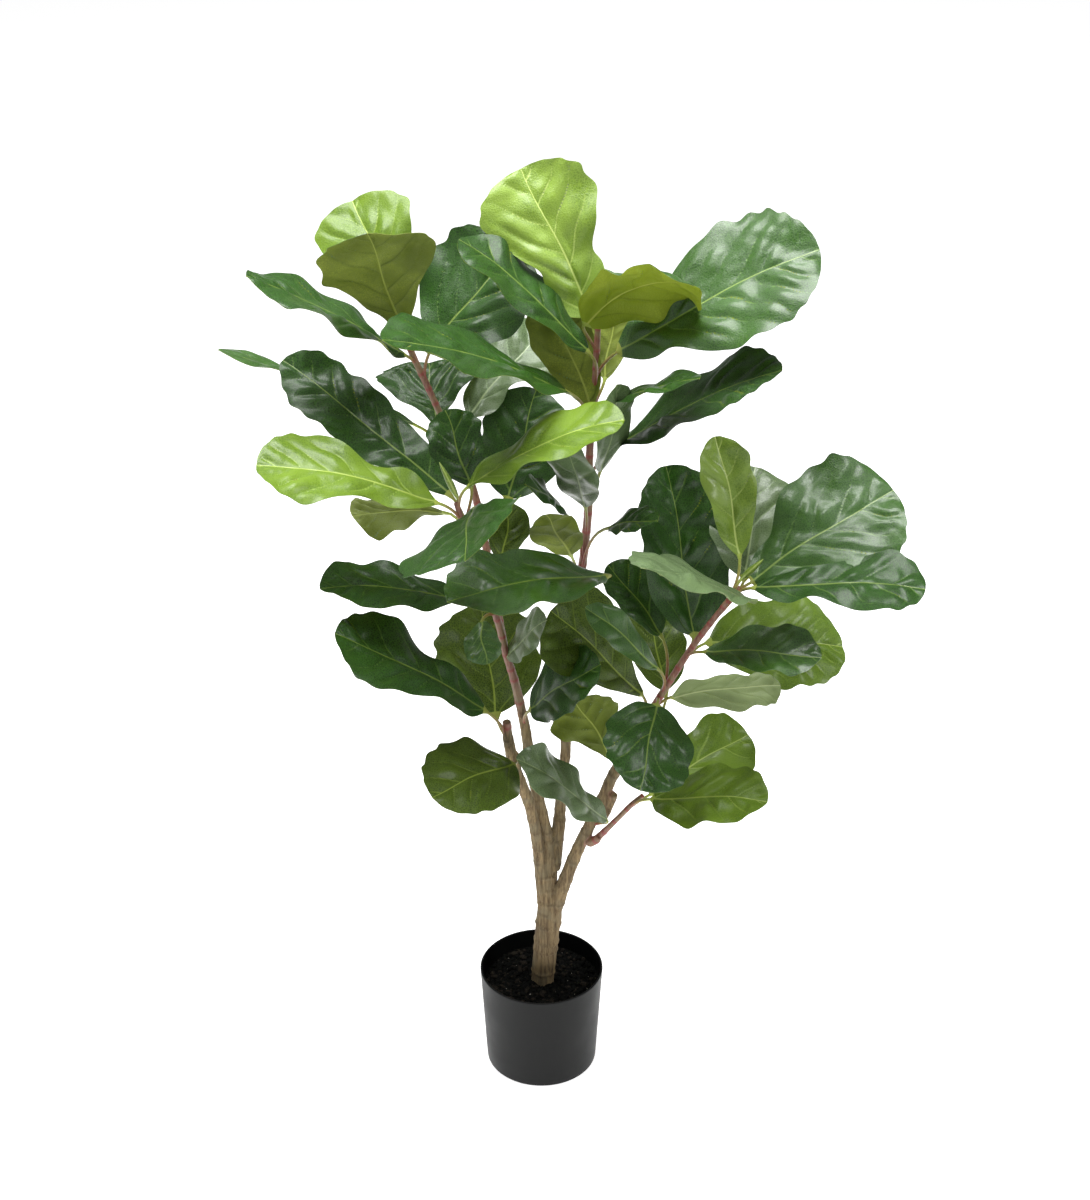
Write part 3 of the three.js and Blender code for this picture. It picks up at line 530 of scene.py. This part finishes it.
# leaf, blade's foot, tip, width, way the upper side faces, arch, fold in degrees, edge wave, outline, tone
leafPlan = {
    "upper_left": [
        ("upper_left_1", (-140, 90, 880), (-195, 170, 975), 105,
         (-0.1, -0.85, 0.5), 10, 8, 3, "wedge", "fresh"),
        ("upper_left_2", (-140, 70, 870), (-165, -20, 1005), 115,
         (-0.15, 0.75, 0.6), 8, -8, 4, "wedge", "olive"),
        ("upper_left_3", (-140, 70, 845), (-285, 0, 955), 88, (0.28, -0.05, 0.95), 6, 5, 5, "strap", "dark"),
        ("upper_left_5", (-110, 95, 760), (-120, 160, 800), 116, (0, -0.85, 0.5), 5, 10, 3, "wedge", "dark"),
        ("upper_left_6", (-105, 75, 860), (-25, 115, 945), 128, (-0.3, -0.8, 0.5), 6, 12, 4, "round", "dark"),
        ("upper_left_8", (-75, 110, 760), (5, 190, 830), 80, (-0.3, -0.75, 0.55), 6, 8, 3, "fiddle", "pale"),
        ("middle_1", (-35, 80, 680), (-5, 135, 780), 92, (0, -0.85, 0.5), 5, 8, 3, "round", "dark"),
        ("left_6", (-135, 110, 750), (-335, 110, 835), 66, (0.3, 0.2, 0.93), 4, 5, 3, "strap", "olive"),
    ],
    "centre": [
        ("upper_left_4", (25, -5, 835), (-145, -130, 940), 98, (0.1, -0.2, 1), 10, 8, 4, "strap", "dark"),
        ("upper_left_7", (45, 5, 875), (-80, 35, 980), 76, (0.2, -0.2, 0.9), 8, 6, 4, "strap", "dark"),
        ("centre_1", (50, 40, 900), (-20, 85, 1035), 116, (-0.1, -0.85, 0.45), 12, 8, 4, "fiddle", "bright"),
        ("centre_2", (45, 15, 900), (145, -55, 965), 98, (0.1, 0.75, 0.65), 22, -8, 5, "round", "lime"),
        ("centre_3", (80, 20, 870), (265, -25, 990), 136, (-0.25, -0.6, 0.75), 10, 8, 5, "paddle", "mid"),
        ("centre_4", (80, 15, 770), (230, -70, 885), 94, (-0.15, -0.25, 0.95), 8, 10, 4, "strap", "dark"),
        ("centre_5", (65, -5, 820), (150, -90, 885), 45, (-0.1, -0.2, 1), 5, 5, 2, "strap", "dark"),
        ("centre_6", (50, 30, 805), (5, 55, 920), 64, (-0.2, 0.8, 0.5), 5, -5, 2, "strap", "olive"),
        ("centre_7", (65, 55, 825), (75, 100, 890), 46, (0.1, 0.8, 0.5), 5, -5, 2, "strap", "olive"),
        ("centre_8", (60, 5, 745), (75, -35, 855), 50, (0.5, -0.6, 0.4), 5, 5, 2, "strap", "pale"),
        ("centre_9", (45, 5, 705), (25, -60, 810), 54, (-0.2, -0.6, 0.75), 4, 8, 2, "strap", "pale"),
        ("middle_2", (25, -15, 705), (-15, -80, 770), 40, (0.1, -0.5, 0.85), 4, 8, 2, "round", "dark"),
        ("middle_3", (30, -5, 655), (5, -75, 735), 50, (-0.2, 0.6, 0.75), 4, -5, 2, "round", "olive"),
        ("middle_5", (70, -25, 695), (115, -70, 725), 40, (0, -0.4, 0.9), 4, 8, 2, "round", "dark"),
        ("lower_left_2", (65, -35, 645), (-90, -155, 680), 94, (0, -0.3, 0.95), 8, 12, 4, "strap", "mid"),
    ],
    "left": [
        ("left_bud", (-83, -51, 741), (-100, -54, 781), 7, (0, -0.8, 0.6), 1, 0, 0, "bud", "bright"),
        ("middle_4", (-40, -20, 655), (-35, 15, 705), 48, (0.3, -0.8, 0.5), 4, 8, 2, "strap", "moss"),
        ("left_1", (-105, -70, 745), (-275, -90, 795), 92, (0, -0.35, 0.94), 10, 8, 4, "fiddle", "fresh"),
        ("left_2", (-70, -65, 760), (80, -85, 840), 84, (-0.3, -0.12, 0.95), 12, 8, 4, "strap", "fresh"),
        ("left_3", (-65, -85, 745), (-70, -225, 760), 138, (-0.5, -0.45, 0.8), 6, 12, 3, "wedge", "dark"),
        ("left_4", (-100, 0, 700), (-195, 15, 690), 80, (0, 0.8, 0.6), 5, -8, 3, "wedge", "olive"),
        ("left_5", (-95, -5, 725), (-265, 80, 835), 76, (-0.1, -0.4, 0.92), 8, 8, 5, "strap", "dark"),
        ("left_7", (-70, -40, 750), (-95, -15, 820), 58, (0.1, -0.75, 0.65), 4, 8, 3, "strap", "dark"),
        ("lower_left_1", (-80, -40, 620), (-220, -90, 660), 78, (0.1, -0.15, 0.97), 8, 8, 4, "strap", "dark"),
        ("lower_left_4", (-50, 20, 450), (-65, 80, 550), 112, (0, -0.7, 0.7), 5, 8, 3, "round", "moss"),
        ("lower_left_5", (-60, -50, 600), (-55, -85, 570), 42, (-0.3, -0.8, 0.4), 4, 8, 2, "strap", "mid"),
        ("lower_left_6", (-35, -25, 545), (5, -65, 610), 48, (-0.3, -0.5, 0.8), 4, 5, 2, "strap", "pale"),
        ("lower_left_7", (-10, -40, 490), (60, -85, 570), 76, (-0.1, -0.55, 0.83), 5, 8, 3, "round", "dark"),
    ],
    "low_left": [
        ("lower_left_3", (-60, -75, 510), (-205, -110, 620), 88, (0.1, -0.4, 0.9), 8, 8, 4, "fiddle", "dark"),
        ("lower_left_8", (-30, -70, 440), (-110, -155, 455), 96, (0, -0.5, 0.87), 5, 8, 3, "round", "moss"),
    ],
    "right": [
        ("right_bud", (202, -61, 655), (222, -68, 681), 7, (0, -0.8, 0.6), 1, 0, 0, "bud", "bright"),
        ("middle_6", (75, -25, 420), (35, -30, 495), 76, (-0.4, 0.75, 0.5), 5, -8, 3, "wedge", "olive"),
        ("middle_7", (105, -25, 500), (10, -45, 610), 98, (0.1, -0.75, 0.65), 5, 8, 3, "wedge", "moss"),
        ("middle_8", (120, -50, 545), (45, -75, 630), 38, (0.3, -0.6, 0.7), 4, 5, 2, "strap", "mid"),
        ("middle_9", (125, -5, 560), (70, 20, 630), 62, (0.4, -0.6, 0.7), 4, 20, 2, "strap", "dark"),
        ("middle_10", (135, 35, 470), (115, 95, 550), 66, (0.3, -0.8, 0.5), 4, 8, 2, "round", "moss"),
        ("right_1", (200, -45, 675), (175, 0, 785), 58, (0.2, -0.85, 0.5), 5, 18, 4, "strap", "bright"),
        ("right_2", (160, 0, 560), (130, 60, 725), 118, (0.15, -0.8, 0.6), 6, 36, 3, "round", "dark"),
        ("right_3", (210, -80, 640), (95, -180, 730), 96, (0, -0.08, 1), 5, 5, 4, "strap", "pale"),
        ("right_4", (210, -15, 635), (225, 80, 715), 92, (0, -0.85, 0.5), 5, 8, 4, "round", "pale"),
        ("right_5", (215, -55, 650), (355, -20, 735), 138, (-0.2, -0.6, 0.77), 10, 8, 5, "paddle", "mid"),
        ("right_6", (215, -80, 655), (375, -130, 680), 82, (0, -0.3, 0.95), 8, 8, 4, "fiddle", "dark"),
        ("lower_right_1", (180, 5, 545), (325, 40, 520), 106, (-0.1, -0.6, 0.8), 6, 8, 4, "round", "fresh"),
        ("lower_right_2", (170, -60, 570), (280, -115, 595), 62, (0, -0.5, 0.87), 5, 18, 4, "strap", "mid"),
        ("lower_right_3", (140, -15, 490), (250, -40, 520), 80, (-0.1, 0.9, 0.4), 5, -8, 3, "strap", "pale"),
        ("lower_right_4", (120, -60, 505), (100, -150, 460), 95, (0.1, -0.9, 0.4), 6, 8, 3, "round", "dark"),
        ("lower_right_7", (70, -40, 350), (-25, -90, 460), 60, (0.3, -0.4, 0.87), 6, 8, 6, "strap", "pale"),
    ],
    "low_right": [
        ("lower_right_5", (120, -25, 375), (225, 15, 425), 80, (-0.3, -0.7, 0.65), 5, 8, 4, "wedge", "fresh"),
        ("lower_right_6", (120, -60, 390), (235, -110, 420), 82,
         (-0.1, -0.3, 0.95), 6, 8, 4, "round", "fresh"),
    ],
}
# the finish of a leaf's lower side; tones that aren't here have an olive one. The olive and lime
# finishes are lighter than the leaf's own colour, as painted light shining through the thin blade
lowerTones = {"bright": "underPale", "pale": "underPale", "lime": "lime"}
greenStalks = ("bright", "fresh", "lime", "olive")


def smoothValue(pairs, t):
    xs, ys = np.array(pairs, float).T
    slope = np.gradient(ys, xs)
    i = np.clip(np.searchsorted(xs, t, side="right") - 1, 0, len(xs) - 2)
    h = xs[i + 1] - xs[i]
    u = (t - xs[i]) / h
    return ((2 * u ** 3 - 3 * u ** 2 + 1) * ys[i] + (u ** 3 - 2 * u ** 2 + u) * h * slope[i]
            + (-2 * u ** 3 + 3 * u ** 2) * ys[i + 1] + (u ** 3 - u ** 2) * h * slope[i + 1])


def waves(rng, along, across, step):
    # smooth unevenness that follows no direction, about 1 high
    total = 0
    for _ in range(5):
        way, stretch, start = rng.uniform(0, math.pi), step * rng.uniform(0.7, 1.5), rng.uniform(0, wholeTurn)
        total = total + np.sin(wholeTurn * (along * math.cos(way) + across * math.sin(way)) / stretch + start)
    return total / 2.2


def stalkLine(stem, foot, axis):
    # from the middle of the stem, below the leaf, turning from the stem's way to the leaf's
    line = stemCurves[stem][:, :3]
    ways = unit(np.gradient(line, axis=0))
    gaps = np.linalg.norm(line - foot, axis=1)
    below = foot - (axis + ways[gaps.argmin()]) * gaps.min()
    seatIndex = np.linalg.norm(line - below, axis=1).argmin()
    seat, stemWay = line[seatIndex], ways[seatIndex]
    turn = leafShape["stalkTurn"] * np.linalg.norm(foot - seat)
    first, second = seat + stemWay * turn, foot - axis * turn
    s = np.linspace(0, 1, leafShape["stalkRings"] + 1)[:, None]
    points = (1 - s) ** 3 * seat + 3 * s * (1 - s) ** 2 * first
    points = points + 3 * s ** 2 * (1 - s) * second + s ** 3 * foot
    return points[:-1], unit(np.gradient(points, axis=0))[:-1], s[:-1]


def bladeGrid(length, width, bud):
    # shares across, closer together at the midrib, and shares of the length, closer at both ends
    columns = 2 * int(np.clip(width / leafShape["across"], *leafShape["acrossCount"]) // 2) + 1
    stations = int(np.clip(length / leafShape["along"], *leafShape["alongCount"]))
    if bud:
        stations, columns = leafShape["budCounts"]
    v = np.linspace(-1, 1, columns)
    t = np.linspace(0, 1, stations)[:, None]
    return (np.sign(v) * np.abs(v) ** 1.15)[None, :], 0.5 * t + 0.5 * (0.5 - 0.5 * np.cos(math.pi * t))


def halfWidth(outline, width, t, blend):
    cap = np.sqrt(1 - np.clip((t - leafShape["capStart"]) / (1 - leafShape["capStart"]), 0, 1) ** 2)
    half = np.clip(smoothValue(outlines[outline], t), 0, 1.05) * width / 2 * cap
    return np.maximum(np.maximum(half, 0.25), leafShape["stalkRadius"] * blend)


def edgeLobes(t, half, along, spacing, starts, live):
    # the edge bulges between the ends of the side veins, more on one side than on the other
    shape = leafShape
    veinEnds = along - shape["veinSlant"] * half - shape["veinBend"] * half ** 2 - shape["firstVein"]
    sides = []
    for k in (0, 1):
        bulge = np.abs(np.sin(math.pi * (veinEnds / spacing + shape["veinShift"] * k))) ** 2 - 0.5
        depth = shape["lobe"] * (1 + 0.4 * math.sin(starts[k])) * np.clip((t - 0.12) / 0.2, 0, 1)
        ripple = shape["ripple"] * np.sin(wholeTurn * 5.5 * t + starts[k + 2])
        sides.append(1 + live * (depth * bulge + ripple))
    return sides


def edgeLift(rng, v, t, x, half, along, fold, wave, starts, live):
    # the two halves fold up along the midrib, their edges wave and the whole blade swells
    lift = half * (np.sqrt(v ** 2 + 0.015) - math.sqrt(0.015)) * math.sin(math.radians(fold))
    left, right = leafShape["edgeWaves"]
    leftWave = np.sin(wholeTurn * left * t + starts[4])
    rightWave = np.sin(wholeTurn * right * t + starts[5])
    lift = lift + live * wave * v ** 2 * np.where(v < 0, leftWave, rightWave) * np.minimum(1, half / 20)
    lift = lift - live * 0.05 * half * np.abs(v) ** 3
    swell = leafShape["swell"] * waves(rng, along, x, leafShape["swellStep"])
    return lift + live * swell * np.abs(v) * np.minimum(1, half / 30)


def sideVeins(rng, v, x, along, spacing):
    # side veins leave the midrib at a slant, turn towards the tip, and stand apart by even steps
    shape, run = leafShape, np.abs(x)
    wander = shape["wander"] * waves(rng, along, x, shape["wanderStep"])
    drift = shape["veinSlant"] * run + shape["veinBend"] * run ** 2 + wander
    cell = (along - drift - shape["firstVein"]) / spacing + np.where(v < 0, 0, shape["veinShift"])
    inCell = cell - np.floor(cell)
    slant = 1 / np.sqrt(1 + (shape["veinSlant"] + 2 * shape["veinBend"] * run) ** 2)
    toVein = np.where(cell > 0, np.minimum(inCell, 1 - inCell), -cell) * spacing * slant
    return toVein, np.where(cell > 0, np.sin(math.pi * inCell) ** 0.7, 0.4)


def skinLift(rng, v, x, half, along, dome, blend):
    # the skin domes between the veins, more in some places than in others, and sinks at the midrib
    shape = leafShape
    body = np.clip(half / 20, 0, 1) * (1 - np.abs(v) ** 3) * np.clip(np.abs(x) / 7, 0, 1)
    dome = dome * (0.7 + 0.55 * waves(rng, along, x, shape["quiltStep"]))
    dome = dome + shape["pucker"] * waves(rng, along, x, shape["puckerStep"])
    groove = shape["groove"] * np.exp(-(x / shape["grooveWidth"]) ** 2) * (1 - blend)
    return shape["quilt"] * body * (dome - 0.5) - groove


def skinDepths(v, t, x, half, blend, bud, live):
    # half the thickness above and below: thin at the edge, with the midrib's ridge below, and round
    # where the blade runs into its stalk
    shape = leafShape
    thin = shape["edgeThickness"] / shape["thickness"]
    above = shape["thickness"] / 2 * (1 - (1 - thin) * np.abs(v)) + 0 * t
    below = above + live * shape["ribRidge"] * np.exp(-(x / shape["ribWidth"]) ** 2) * (1 - 0.75 * t)
    roundHalf = (half if bud else shape["stalkRadius"]) * np.sqrt(np.clip(1.05 - v ** 2, 0, 1))
    share = np.ones_like(t) if bud else blend
    return above * (1 - share) + roundHalf * share, below * (1 - share) + roundHalf * share


def bladeSurface(rng, row, bud):
    # the two skins of a blade, and what the material asks of each point
    name, foot, tip, width, facing, arch, fold, wave, outline, tone = row
    shape = leafShape
    foot, tip = np.array(foot, float), np.array(tip, float)
    length = np.linalg.norm(tip - foot)
    axis = unit(tip - foot)
    side = unit(np.cross(axis, facing))
    up = np.cross(side, axis)
    live = 0.0 if bud else 1.0
    v, t = bladeGrid(length, width, bud)
    blend = np.clip(1 - t / shape["stalkBlend"], 0, 1)
    half = halfWidth(outline, width, t, blend)
    number = max(4, round((length - shape["firstVein"]) / shape["veinSpacing"]))
    spacing = (length - shape["firstVein"]) / number
    along = t * length
    starts = rng.uniform(0, wholeTurn, 6)
    lobes = edgeLobes(t, half, along, spacing, starts, live)
    x = half * v * np.where(v < 0, lobes[0], lobes[1])
    sideStep = live * shape["sway"] * np.sin(wholeTurn * 0.8 * t + starts[0]) * 4 * t * (1 - t)
    centre = foot + (tip - foot) * t + up * (4 * arch * t * (1 - t)) + side * sideStep
    slope = unit(np.gradient(centre, axis=0))
    upward = np.cross(side, slope)
    lift = edgeLift(rng, v, t, x, half, along, fold, wave, starts, live)
    toVein, dome = sideVeins(rng, v, x, along, spacing)
    lift = lift + live * skinLift(rng, v, x, half, along, dome, blend)
    # the tip is notched and the blade's foot runs back past the stalk
    notch = shape["tipNotch"] * np.clip((t - 0.84) / 0.12, 0, 1)
    lobesBack = shape["footLobes"] * np.clip(1 - t / 0.12, 0, 1)
    reach = live * half * (v ** 2 - 0.6 * (t > 0.5)) * (notch - lobesBack)
    above, below = skinDepths(v, t, x, half, blend, bud, live)
    middle = centre[:, None, :] + side * (x * math.cos(math.radians(fold)))[:, :, None]
    middle = middle + upward[:, None, :] * lift[:, :, None] + slope[:, None, :] * reach[:, :, None]
    top = middle + upward[:, None, :] * above[:, :, None]
    under = middle - upward[:, None, :] * below[:, :, None]
    # mm from the midrib, which is thinner towards the tip, mm from the nearest side vein, 0 at the
    # midrib to 1 at the edge, and the place along the stalk, 1 on the whole blade
    values = {
        "rib": np.abs(x) / (1.2 - 0.8 * t), "veinGap": toVein, "margin": np.abs(v) + 0 * x,
        "stalk": 1 + 0 * x}
    return top, under, values, axis, side, foot, v[0]


def stalkSkins(stem, foot, axis, side, across):
    above, below = [], []
    line, ways, shares = stalkLine(stem, foot, axis)
    for p, way, share in zip(line, ways, shares[:, 0]):
        sideways = unit(side - way * side.dot(way))
        upright = np.cross(sideways, way)
        flare = (leafShape["stalkFoot"] - leafShape["stalkRadius"]) * max(0, 1 - share * 4)
        radius = leafShape["stalkRadius"] + flare
        level = p + sideways * (radius * across)[:, None]
        profile = upright * (radius * np.sqrt(np.clip(1.05 - across ** 2, 0, 1)))[:, None]
        above.append(level + profile)
        below.append(level - profile)
    return np.array(above), np.array(below), shares


def makeLeaf(stem, row, number):
    name, tone, bud = row[0], row[9], row[8] == "bud"
    top, under, values, axis, side, foot, across = bladeSurface(np.random.default_rng(100 + number), row, bud)
    stalkTop, stalkUnder, shares = stalkSkins(stem, foot, axis, side, across)
    rings = np.concatenate([
        np.concatenate([stalkTop, stalkUnder[:, ::-1]], axis=1),
        np.concatenate([top, under[:, ::-1]], axis=1)])
    # slot 0 is the upper side, 1 the lower side and 2 the stalk
    columns = len(across)
    indices = []
    for i in range(len(rings) - 1):
        onStalk = i <= leafShape["stalkRings"]
        indices += [2 if onStalk else (0 if j < columns else 1) for j in range(2 * columns)]
    indices += [2, 1]
    materials = [
        uppers.get(tone, uppers["mid"]), unders[lowerTones.get(tone, "olive")],
        stalks["stalkGreen" if tone in greenStalks else "stalkRed"]]
    faces = loftFaces(len(rings), 2 * columns)
    leaf = makeObject("leaf_" + name + "_blade", rings.reshape(-1, 3), faces, materials, indices)
    stalkValues = {"rib": 0 * shares, "veinGap": 9 + 0 * shares, "margin": 0 * shares, "stalk": shares}
    for key, value in values.items():
        both = np.concatenate([value, value[:, ::-1]], axis=1)
        onStalk = np.repeat(stalkValues[key], 2 * columns, axis=1)
        setAttribute(leaf.data, key, np.concatenate([onStalk, both]))
    leaf.data.shade_smooth()
    leaf.data.set_sharp_from_angle(angle=math.radians(60))
    standFor(leaf, "leaf_" + name)


number = 0
for stem, rows in leafPlan.items():
    for row in rows:
        makeLeaf(stem, row, number)
        number += 1
print("leaves and buds:", number)

# the pot's shell, turned from a profile
pot = {
    "footRadius": 63, "rimRadius": 70, "height": 124, "wall": 2.4, "floor": 3, "lip": 1.1,
    "footBevel": 1.6, "segments": 160, "dark": "#0b0c0c", "light": "#101111", "shine": 0.2,
    "smooth": 0.38, "rough": 0.5, "haze": 35, "grain": 0.9, "bumpDepth": 0.3, "bumpStrength": 0.12,
}


def potMaterial():
    # polypropylene, injection moulded: near black and satin, with the very fine grain of the mould
    material, tree, shader = newMaterial("mouldedPolypropylene", 0.42, 1.49, Specular_IOR_Level=pot["shine"])
    place = addNode(tree, "ShaderNodeTexCoord").outputs["Object"]
    haze = addNode(tree, "ShaderNodeTexNoise", None, {
        "Vector": place, "Scale": 1 / (pot["haze"] * mm), "Detail": 4.0}).outputs["Fac"]
    share = addNode(tree, "ShaderNodeMapRange", None, {0: haze, 1: 0.3, 2: 0.7}).outputs[0]
    colour = addNode(tree, "ShaderNodeMix", colourMix, {0: share, 6: pot["dark"], 7: pot["light"]})
    tree.links.new(colour.outputs[2], shader.inputs["Base Color"])
    rough = addNode(tree, "ShaderNodeMapRange", None, {
        0: haze, 1: 0.3, 2: 0.7, 3: pot["smooth"], 4: pot["rough"]})
    tree.links.new(rough.outputs[0], shader.inputs["Roughness"])
    fine = addNode(tree, "ShaderNodeTexNoise", None, {
        "Vector": place, "Scale": 1 / (pot["grain"] * mm), "Detail": 2.0}).outputs["Fac"]
    bump = addNode(tree, "ShaderNodeBump", None, {
        "Strength": pot["bumpStrength"], "Distance": pot["bumpDepth"] * mm, "Height": fine})
    tree.links.new(bump.outputs["Normal"], shader.inputs["Normal"])
    return material


def outerRadius(z):
    return pot["footRadius"] + (pot["rimRadius"] - pot["footRadius"]) * z / pot["height"]


def makePot():
    bevel, lip, top, wall = pot["footBevel"], pot["lip"], pot["height"], pot["wall"]
    quarter = np.linspace(0, math.pi / 2, 6)
    # from the middle of the foot, up the outside, over the rim and down the inside
    profile = [(2, 0), (outerRadius(0) - bevel - 6, 0)]
    profile += [(outerRadius(0) - bevel + bevel * math.sin(a), bevel - bevel * math.cos(a)) for a in quarter]
    profile += [(outerRadius(z), z) for z in np.linspace(bevel + 4, top - lip - 2, 9)]
    profile += [(outerRadius(top) - lip + lip * math.cos(a), top - lip + lip * math.sin(a)) for a in quarter]
    inner = outerRadius(top) - wall + lip
    profile += [(inner - lip * math.sin(a), top - lip + lip * math.cos(a)) for a in quarter]
    profile += [(outerRadius(z) - wall, z) for z in np.linspace(top - lip - 3, pot["floor"] + 2, 6)]
    profile += [(outerRadius(pot["floor"]) - wall - 2, pot["floor"]), (2, pot["floor"])]
    turns = np.linspace(0, 2 * math.pi, pot["segments"], endpoint=False)
    points = [(r * math.cos(a), r * math.sin(a), z) for r, z in profile for a in turns]
    piece = makeObject("pot_shell", points, loftFaces(len(profile), pot["segments"]), [potMaterial()])
    piece.data.shade_smooth()
    piece.data.set_sharp_from_angle(angle=math.radians(40))
    standFor(piece, "pot")


makePot()
print("pot done")

# a bed of potting soil with crumbs half sunk in its top; every fourth crumb is a chip of bark
soil = {
    "top": 103, "mound": 2, "gap": 0.4, "rings": 46, "segments": 150, "crumbs": 1500, "specks": 34,
    "crumbSizes": (1.0, 1.5, 2.2, 3.2), "crumbShares": (0.36, 0.32, 0.22, 0.1), "speckSize": 0.7,
    "lump": 0.9, "grit": 0.4, "grain": 2.2, "bumpDepth": 1.5,
    "peat": ("#030404", "#181816"), "barkChips": ("#0c0b0a", "#363029"), "perlite": ("#77736a", "#a8a499"),
}


def soilMaterial(name, rough):
    # potting soil: damp bark and peat crumbs, almost black, with no shine, and dull white perlite
    dark, light = soil[name]
    material, tree, shader = newMaterial(name, rough, Specular_IOR_Level=0.1)
    place = addNode(tree, "ShaderNodeTexCoord").outputs["Object"]
    grains = addNode(tree, "ShaderNodeTexNoise", None, {
        "Vector": place, "Scale": 1 / (soil["grain"] * mm), "Detail": 5.0, "Roughness": 0.7}).outputs["Fac"]
    share = addNode(tree, "ShaderNodeMapRange", None, {0: grains, 1: 0.35, 2: 0.75}).outputs[0]
    colour = addNode(tree, "ShaderNodeMix", colourMix, {0: share, 6: dark, 7: light})
    tree.links.new(colour.outputs[2], shader.inputs["Base Color"])
    bump = addNode(tree, "ShaderNodeBump", None, {
        "Strength": 1.0, "Distance": soil["bumpDepth"] * mm, "Height": grains})
    tree.links.new(bump.outputs["Normal"], shader.inputs["Normal"])
    return material


def unitBall():
    bm = bmesh.new()
    bmesh.ops.create_icosphere(bm, subdivisions=2, radius=1)
    points = np.array([v.co[:] for v in bm.verts])
    faces = [tuple(v.index for v in f.verts) for f in bm.faces]
    bm.free()
    return points, faces


def makeSoil():
    rng = np.random.default_rng(5)
    edge = outerRadius(soil["top"]) - pot["wall"] - soil["gap"]
    starts = rng.uniform(0, wholeTurn, 4)

    def topAt(x, y):
        z = soil["top"] + soil["mound"] * (1 - math.hypot(x, y) / edge) - 0.8
        z += soil["lump"] * math.sin(x * 0.31 + starts[0]) * math.sin(y * 0.27 + starts[1])
        z += 0.6 * soil["lump"] * math.sin(x * 0.83 + y * 0.4 + starts[2]) * math.sin(y * 0.71 + starts[3])
        return z

    turns = np.linspace(0, 2 * math.pi, soil["segments"], endpoint=False)
    points = []
    for r in np.linspace(1.5, edge, soil["rings"]):
        for a in turns:
            x, y = r * math.cos(a), r * math.sin(a)
            points.append((x, y, topAt(x, y) + rng.normal(0, soil["grit"])))
    # the bed's side follows the pot's wall down to its floor
    inside = pot["wall"] + soil["gap"]
    bottom = pot["floor"] + 0.5
    below = [(outerRadius(60) - inside, 60), (outerRadius(4) - inside, bottom), (20, bottom)]
    points += [(r * math.cos(a), r * math.sin(a), z) for r, z in below for a in turns]
    faces = loftFaces(soil["rings"] + len(below), soil["segments"])
    indices = [0] * len(faces)
    ball, ballFaces = unitBall()
    for n in range(soil["crumbs"] + soil["specks"]):
        pale = n >= soil["crumbs"]
        r = (edge - 3) * math.sqrt(rng.uniform(0.02, 1))
        a, spin = rng.uniform(0, wholeTurn, 2)
        x, y = r * math.cos(a), r * math.sin(a)
        size = soil["speckSize"]
        if not pale:
            size = rng.choice(soil["crumbSizes"], p=soil["crumbShares"]) * rng.uniform(0.8, 1.2)
        lumps = 1 + 0.25 * np.sin(ball @ rng.uniform(-4, 4, 3) + rng.uniform(0, 6))
        crumb = ball * lumps[:, None] * rng.uniform((0.7, 0.6, 0.45), (1.5, 1.1, 0.9)) * size
        c, s = math.cos(spin), math.sin(spin)
        crumb = crumb @ np.array([(c, s, 0), (-s, c, 0), (0, 0, 1)])
        start = len(points)
        points += list(crumb + np.array([x, y, topAt(x, y) + 0.25 * size]))
        faces += [tuple(i + start for i in f) for f in ballFaces]
        indices += [2 if pale else (1 if n % 4 == 0 else 0)] * len(ballFaces)
    materials = [soilMaterial("peat", 0.95), soilMaterial("barkChips", 0.9), soilMaterial("perlite", 0.9)]
    piece = makeObject("soil_bed", points, faces, materials, indices)
    piece.data.shade_smooth()
    standFor(piece, "soil")


makeSoil()
print("soil done")
